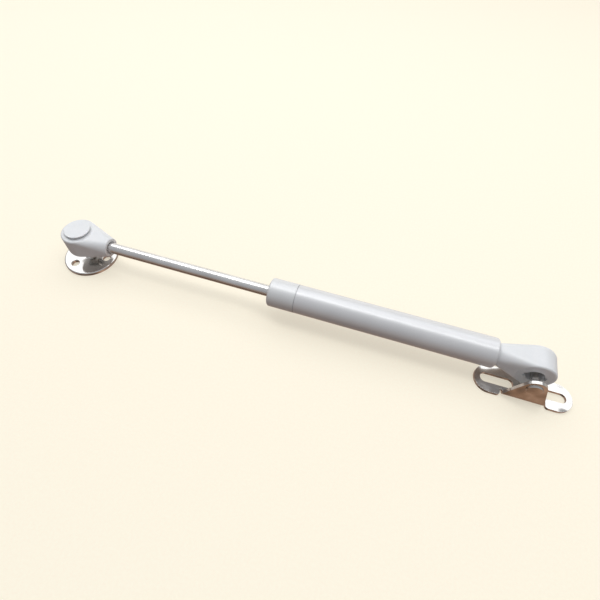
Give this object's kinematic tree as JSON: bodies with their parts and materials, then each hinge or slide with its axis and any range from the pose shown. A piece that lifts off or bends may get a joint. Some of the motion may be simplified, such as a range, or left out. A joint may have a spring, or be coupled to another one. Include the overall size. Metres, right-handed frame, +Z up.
{
  "type": "gas strut stay",
  "caption": "Compressed-gas stay: a rod slides in a tube between ball-socket heads, one on a round screw plate, the other on a slotted angle bracket.",
  "frame": {"origin": "centre of the round plate's underside", "axes": "+X along the strut from the rod end to the tube end, +Z up from the mounting surface, the bracket's tab towards -Y"},
  "size_m": [0.2843, 0.03, 0.0231],
  "materials": {
    "nickel_plate": "polished nickel plate",
    "chrome_rod": "hard chrome, polished",
    "silver_tube": "satin silver-grey paint",
    "collar_plastic": "silver-grey, satin",
    "head_plastic": "light silver-grey, satin",
    "seat_plastic": "natural acetal",
    "steel": "plain turned steel",
    "piston_metal": "sintered bronze",
    "seal_rubber": "matt black"
  },
  "bodies": {
    "rod_end_mount": {"rod_end_plate": "nickel_plate", "rod_end_ball_stud": "nickel_plate"},
    "rod_end_seat": {"rod_end_ball_seat": "seat_plastic"},
    "rod_end_jaw": {"rod_end_jaw_ring": "head_plastic"},
    "rod": {"rod_end_head": "head_plastic", "piston_rod": "chrome_rod", "orifice_washer": "steel", "piston": "piston_metal", "piston_rivet_washer": "steel"},
    "rod_end_cap": {"rod_end_snap_cap": "head_plastic"},
    "piston_seal": {"piston_ring": "seal_rubber"},
    "tube": {"rod_guide_collar": "collar_plastic", "wiper_ring": "seal_rubber", "pressure_tube": "silver_tube", "rod_guide_bush": "piston_metal", "guide_o_ring": "seal_rubber", "seal_backing_washer": "steel", "rod_seal": "seal_rubber", "tube_end_plug": "steel", "plug_o_ring": "seal_rubber", "head_stud": "steel", "tube_end_head": "head_plastic"},
    "tube_end_cap": {"tube_end_snap_cap": "head_plastic"},
    "tube_end_jaw": {"tube_end_jaw_ring": "head_plastic"},
    "tube_end_seat": {"tube_end_ball_seat": "seat_plastic"},
    "tube_end_mount": {"slotted_bracket": "nickel_plate", "tube_end_ball_stud": "nickel_plate"}
  },
  "joints": [
    {"name": "rod_end_swivel", "type": "hinge", "parent": "rod_end_mount", "child": "rod_end_seat", "pos_m": [0, 0, 0.0139], "axis": [0, 0, 1], "continuous": true},
    {"name": "rod_end_pitch", "type": "hinge", "parent": "rod_end_seat", "child": "rod_end_jaw", "pos_m": [0, 0, 0.0139], "axis": [0, 1, 0], "range_deg": [-11, 11]},
    {"name": "rod_end_roll", "type": "hinge", "parent": "rod_end_jaw", "child": "rod", "pos_m": [0, 0, 0.0139], "axis": [1, 0, 0], "range_deg": [-11, 11]},
    {"name": "rod_end_cap_lift", "type": "slide", "parent": "rod", "child": "rod_end_cap", "axis": [0, 0, 1], "range_m": [0, 0.002]},
    {"name": "rod_twist", "type": "hinge", "parent": "rod", "child": "piston_seal", "pos_m": [0.134, 0, 0.0139], "axis": [1, 0, 0], "continuous": true},
    {"name": "stroke", "type": "slide", "parent": "piston_seal", "child": "tube", "axis": [-1, 0, 0], "range_m": [0, 0.08], "stiffness_N_per_m": 110, "springref_m": -0.267},
    {"name": "tube_end_cap_lift", "type": "slide", "parent": "tube", "child": "tube_end_cap", "axis": [0, 1, 0], "range_m": [0, 0.002]},
    {"name": "tube_end_pitch", "type": "hinge", "parent": "tube", "child": "tube_end_jaw", "pos_m": [0.246, 0, 0.0139], "axis": [0, 0, 1], "range_deg": [-11, 11]},
    {"name": "tube_end_roll", "type": "hinge", "parent": "tube_end_jaw", "child": "tube_end_seat", "pos_m": [0.246, 0, 0.0139], "axis": [1, 0, 0], "range_deg": [-11, 11]},
    {"name": "bracket_swivel", "type": "hinge", "parent": "tube_end_seat", "child": "tube_end_mount", "pos_m": [0.246, 0, 0.0139], "axis": [0, -1, 0], "range_deg": [-8, 188]}
  ]
}
